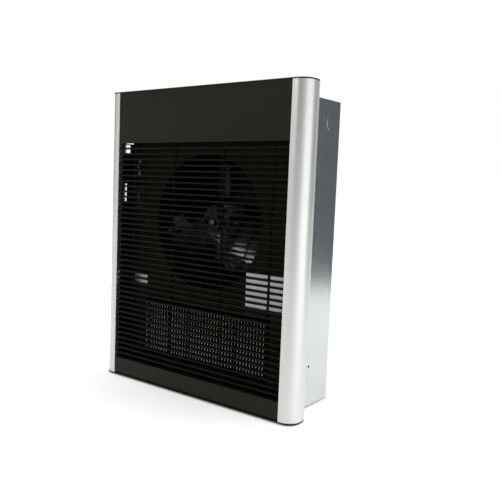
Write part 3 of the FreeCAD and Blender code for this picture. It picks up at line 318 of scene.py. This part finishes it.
# extrusions, plates, bars and box: the solid again, with edges over a length eased by a width
easedEdges = {
    "left_rail": dict(width=0.0004, longer=0.02, corner=railArc),
    "right_rail": dict(width=0.0004, longer=0.02, corner=railArc),
    "top_end_cap": dict(width=0.0004, longer=0.015, corner=plateArc),
    "bottom_end_cap": dict(width=0.0004, longer=0.015, corner=plateArc),
    "header_panel": dict(width=0.0005, longer=0.02),
    "bottom_panel": dict(width=0.0005, longer=0.02),
    "louver_bars": dict(width=0.0005, longer=0.002),
    "wall_box": dict(width=0.0004, longer=0.06),
    "knockouts": dict(width=0.0007, longer=0.0),
    "rating_plate": dict(width=0.0002, longer=0.01),
    "side_plate": dict(width=0.0002, longer=0.01),
}
easeLook = dict(sharper=math.radians(50), steps=2, profile=0.5)


def easeEdges(name, width, longer, corner=None):
    form = copyForm(name)
    if corner:
        roundCorner(form, **corner)
    sharp = [edge for edge in form.edges if len(edge.link_faces) == 2 and edge.calc_length() > longer
             and edge.calc_face_angle() > easeLook["sharper"]]
    bmesh.ops.bevel(form, geom=sharp, offset=width, segments=easeLook["steps"], profile=easeLook["profile"],
                    affect="EDGES", clamp_overlap=True)
    bmesh.ops.dissolve_degenerate(form, dist=formLook["sliver"], edges=form.edges)
    piece = addPiece(name + "Eased", name, form, finishOf[name])
    shadeSmooth(piece)
    weigh = piece.modifiers.new("evenShade", "WEIGHTED_NORMAL")
    weigh.keep_sharp = True


for name, look in easedEdges.items():
    easeEdges(name, **look)
print("stage: eased edges on", len(easedEdges), "pieces")

finLook = dict(lip=0.0011, sheet=0.0003, trim=0.0008)


def foldedFins(name):
    # each fin's sheet takes a darkened copy of the fin metal, painted shade between the close-set fins, and
    # a narrow fold along its front edge keeps the fin metal
    form = copyForm(name, joinFlats=False)
    low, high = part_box(name)
    places = sorted({round(vert.co.x, 5) for vert in form.verts})
    starts = places[::2]  # each fin has two faces across x, and its fold starts at the first
    addPiece("finSheets", name, form, finishes["shadedFinSheet"])
    form = bmesh.new()
    front, back = low.y - finLook["sheet"], low.y
    bottom, top = low.z + finLook["trim"], high.z - finLook["trim"]
    for start in starts:
        end = start + finLook["lip"]
        corners = [form.verts.new((x, y, z)) for z in (bottom, top)
                   for x, y in ((start, front), (end, front), (end, back), (start, back))]
        for ring in ((3, 2, 1, 0), (4, 5, 6, 7), (0, 1, 5, 4), (1, 2, 6, 5), (2, 3, 7, 6), (3, 0, 4, 7)):
            form.faces.new([corners[index] for index in ring])
    addPiece("finFolds", name, form, finishOf[name])
    print("stage: folded fins", len(starts))


bladeLook = dict(blades=3, first=90.0, axis=(0.0, 0.04), camber=0.0024, half=0.044, cuts=15,
                 root=(0.03, 0.06), rootCuts=6)  # the bow grows between the two root distances


def sliceWing(form, centre, out, start, spot, facing):
    # cuts only the faces beyond a blade's root
    faces = [face for face in form.faces if (face.calc_center_median() - centre).dot(out) > start]
    verts = dict.fromkeys(vert for face in faces for vert in face.verts)
    edges = dict.fromkeys(edge for face in faces for edge in face.edges)
    bmesh.ops.bisect_plane(form, geom=[*verts, *edges, *faces], dist=formLook["weld"],
                           plane_co=spot, plane_no=facing)


def camberedBlades(name):
    # the stamped blades again, cut across into strips and bowed towards the front
    form = copyForm(name)
    centre = Vector((bladeLook["axis"][0], 0.0, bladeLook["axis"][1]))
    start, full = bladeLook["root"]
    half, cuts, rootCuts = bladeLook["half"], bladeLook["cuts"], bladeLook["rootCuts"]
    for blade in range(bladeLook["blades"]):
        angle = math.radians(bladeLook["first"] + blade * 360.0 / bladeLook["blades"])
        out = Vector((math.cos(angle), 0.0, math.sin(angle)))
        across = Vector((-out.z, 0.0, out.x))
        for cut in range(cuts):
            place = half * (2.0 * (cut + 0.5) / cuts - 1.0)
            sliceWing(form, centre, out, start, centre + across * place, across)
        for cut in range(rootCuts):
            place = start + (full - start) * (cut + 1) / rootCuts
            sliceWing(form, centre, out, start, centre + out * place, out)
        for vert in form.verts:
            reach = (vert.co - centre).dot(out)
            if reach > start:
                side = (vert.co - centre).dot(across) / half
                ease = min(1.0, (reach - start) / (full - start))
                bow = ease * ease * (3 - 2 * ease) * max(0.0, 1.0 - side * side)
                vert.co.y -= bladeLook["camber"] * bow
    piece = addPiece("camberedBlades", name, form, finishOf[name])
    shadeSmooth(piece)
    print("stage: cambered blades", len(piece.data.polygons))


foldedFins("element_fins")
camberedBlades("fan_blades")

# the floor leans with the object, which stands on its box's and cover's lower edges
floorLook = dict(size=14.0, lean=math.atan(6 / 104), touch=(0.0, 0.0, -0.242), albedo=0.8,
                 # levels below 1 near the middle are a painted shadow around the object on the floor
                 glow=((0.16, 0.645), (0.27, 0.775), (1.1, 1.0)),  # distance from the middle, level
                 shadowReach=0.006, samples=8)


def anyRay(tree, path, total, labels):
    for label in labels:
        total = joinMath(tree, "MAXIMUM", total, path.outputs[label])
    return total


def paleFloor():
    # a pale diffuse sheet, lifted to white for camera and mirrors, less so near the object: the lower lift
    # near the object and under its edges is a painted shadow
    bpy.ops.mesh.primitive_plane_add(size=floorLook["size"])
    floor = bpy.context.object
    floor.name = "paleFloor"
    floor.location = floorLook["touch"]
    floor.rotation_euler = (floorLook["lean"], 0, 0)
    finish, tree, shader = newFinish("floorPaper")
    tree.nodes.remove(shader)
    paper = addNode(tree, "ShaderNodeBsdfDiffuse")
    paper.inputs["Color"].default_value = (*[floorLook["albedo"]] * 3, 1)
    place = addNode(tree, "ShaderNodeTexCoord")
    away = addNode(tree, "ShaderNodeVectorMath", operation="LENGTH")
    tree.links.new(place.outputs["Object"], away.inputs[0])
    (nearFrom, nearGlow), (midFrom, midGlow), (farFrom, farGlow) = floorLook["glow"]
    shadowFadeNear = spread(tree, away.outputs["Value"], nearGlow, midGlow, nearFrom, midFrom)
    shadowFadeFar = spread(tree, away.outputs["Value"], 0.0, farGlow - midGlow, midFrom, farFrom)
    path = addNode(tree, "ShaderNodeLightPath")
    seen = anyRay(tree, path, path.outputs["Is Camera Ray"], ("Is Glossy Ray", "Is Transmission Ray"))
    level = joinMath(tree, "MULTIPLY", seen, joinMath(tree, "ADD", shadowFadeNear, shadowFadeFar))
    # occlusion lowers the lift where the object is close above the floor: a painted shadow under its edges
    paintedShadowUnder = addNode(tree, "ShaderNodeAmbientOcclusion", samples=floorLook["samples"])
    paintedShadowUnder.inputs["Distance"].default_value = floorLook["shadowReach"]
    glow = addNode(tree, "ShaderNodeEmission")
    tree.links.new(joinMath(tree, "MULTIPLY", level, paintedShadowUnder.outputs["AO"]), glow.inputs["Strength"])
    both = addNode(tree, "ShaderNodeAddShader")
    tree.links.new(paper.outputs[0], both.inputs[0])
    tree.links.new(glow.outputs[0], both.inputs[1])
    tree.links.new(both.outputs[0], tree.nodes["Material Output"].inputs["Surface"])
    floor.data.materials.append(finish)


cards = {  # only mirrored, never in the picture
    "darkFlag": dict(at=(0.71, 0.80, 0.4), facing=(-0.53, -0.85, 0.0), width=0.63, height=1.3,
                     glow=(0.105, 0.117, 0.13)),
    "softboxBack": dict(at=(1.82, -0.12, 0.42), facing=(-1.6, 0.0, -0.4), width=2.1, height=1.3,
                        glow=(0.0, 0.0, 0.0)),
    "frontSheet": dict(at=(1.3, -1.93, 1.05), facing=(-1.1, 1.8, -0.75), width=1.0, height=0.8,
                       glow=(0.98, 0.99, 0.98)),
}


def hangCard(name, at, facing, width, height, glow):
    half, rise = width / 2, height / 2
    corners = [(-half, -rise, 0), (half, -rise, 0), (half, rise, 0), (-half, rise, 0)]
    mesh = bpy.data.meshes.new(name)
    mesh.from_pydata(corners, [], [(0, 1, 2, 3)])
    card = bpy.data.objects.new(name, mesh)
    scene.collection.objects.link(card)
    card.location = at
    card.rotation_euler = Vector(facing).to_track_quat("Z", "Y").to_euler()
    finish, _, shader = newFinish(name)
    shader.inputs["Base Color"].default_value = (0, 0, 0, 1)
    shader.inputs["Specular IOR Level"].default_value = 0.0
    shader.inputs["Emission Color"].default_value = (*glow, 1)
    shader.inputs["Emission Strength"].default_value = 1.0
    mesh.materials.append(finish)
    card.visible_camera = card.visible_shadow = card.visible_diffuse = False


worldLook = dict(ambient=0.07, behind=(0.1, 0.45), above=(0.35, 0.75))


def studioWorld():
    # white to the camera all round, and low behind the object to mirrors too
    world = bpy.data.worlds.new("studio")
    scene.world = world
    world.use_nodes = True
    tree = world.node_tree
    back = tree.nodes["Background"]
    back.inputs["Color"].default_value = (1, 1, 1, 1)
    path = addNode(tree, "ShaderNodeLightPath")
    place = addNode(tree, "ShaderNodeTexCoord")
    split = addNode(tree, "ShaderNodeSeparateXYZ")
    tree.links.new(place.outputs["Generated"], split.inputs["Vector"])
    behind = spread(tree, split.outputs["Y"], 0.0, 1.0, *worldLook["behind"])
    lowDown = spread(tree, split.outputs["Z"], 1.0, 0.0, *worldLook["above"])
    mirrored = joinMath(tree, "MULTIPLY", path.outputs["Is Glossy Ray"], behind)
    mirrored = joinMath(tree, "MULTIPLY", mirrored, lowDown)
    seen = anyRay(tree, path, mirrored, ("Is Camera Ray", "Is Transmission Ray"))
    tree.links.new(spread(tree, seen, worldLook["ambient"], 1.0, 0.0, 1.0), back.inputs["Strength"])


lamps = {
    "rightSoftbox": dict(at=(1.75, -0.12, 0.4), aim=(0.15, -0.12, 0.0), size=(2.1, 1.3), power=11.5),
    "leftSoftbox": dict(at=(-1.97, -1.42, 0.6), aim=(0.0, -0.1, 0.05), size=(1.7, 1.45), power=5.4),
    "topSoftbox": dict(at=(0.75, 0.7, 1.95), aim=(0.0, 0.0, 0.0), size=(2.3, 2.3), power=18),
    "frontLamp": dict(at=(-0.503, -1.658, 0.785), aim=(0.066, -0.089, -0.012), size=(0.15, 0.19), power=3.8),
}


def hangLamp(name, at, aim, size, power):
    data = bpy.data.lights.new(name, "AREA")
    data.shape = "RECTANGLE"
    data.size, data.size_y = size
    data.energy = power
    lamp = bpy.data.objects.new(name, data)
    scene.collection.objects.link(lamp)
    lamp.location = at
    lamp.rotation_euler = (Vector(aim) - Vector(at)).to_track_quat("-Z", "Y").to_euler()


paleFloor()
for name, look in cards.items():
    hangCard(name, **look)
studioWorld()
for name, look in lamps.items():
    hangLamp(name, **look)
print("stage: floor, cards, world and lamps")

cameraLook = dict(
    at=(0.7210, -0.9205, 0.0992), right=(0.78920, 0.61284, 0.03981), up=(-0.08877, 0.04969, 0.99481),
    back=(0.60769, -0.78864, 0.09361), lens=46.86, sensor=36.0, nearest=0.01)


def setCamera():
    data = bpy.data.cameras.new("photoCamera")
    data.lens = cameraLook["lens"]
    data.sensor_width = cameraLook["sensor"]
    data.clip_start = cameraLook["nearest"]
    camera = bpy.data.objects.new("photoCamera", data)
    scene.collection.objects.link(camera)
    turn = Matrix((cameraLook["right"], cameraLook["up"], cameraLook["back"])).transposed()
    camera.matrix_world = Matrix.Translation(cameraLook["at"]) @ turn.to_4x4()
    scene.camera = camera


setCamera()
scene.view_settings.view_transform = "Standard"
print("stage: camera set")
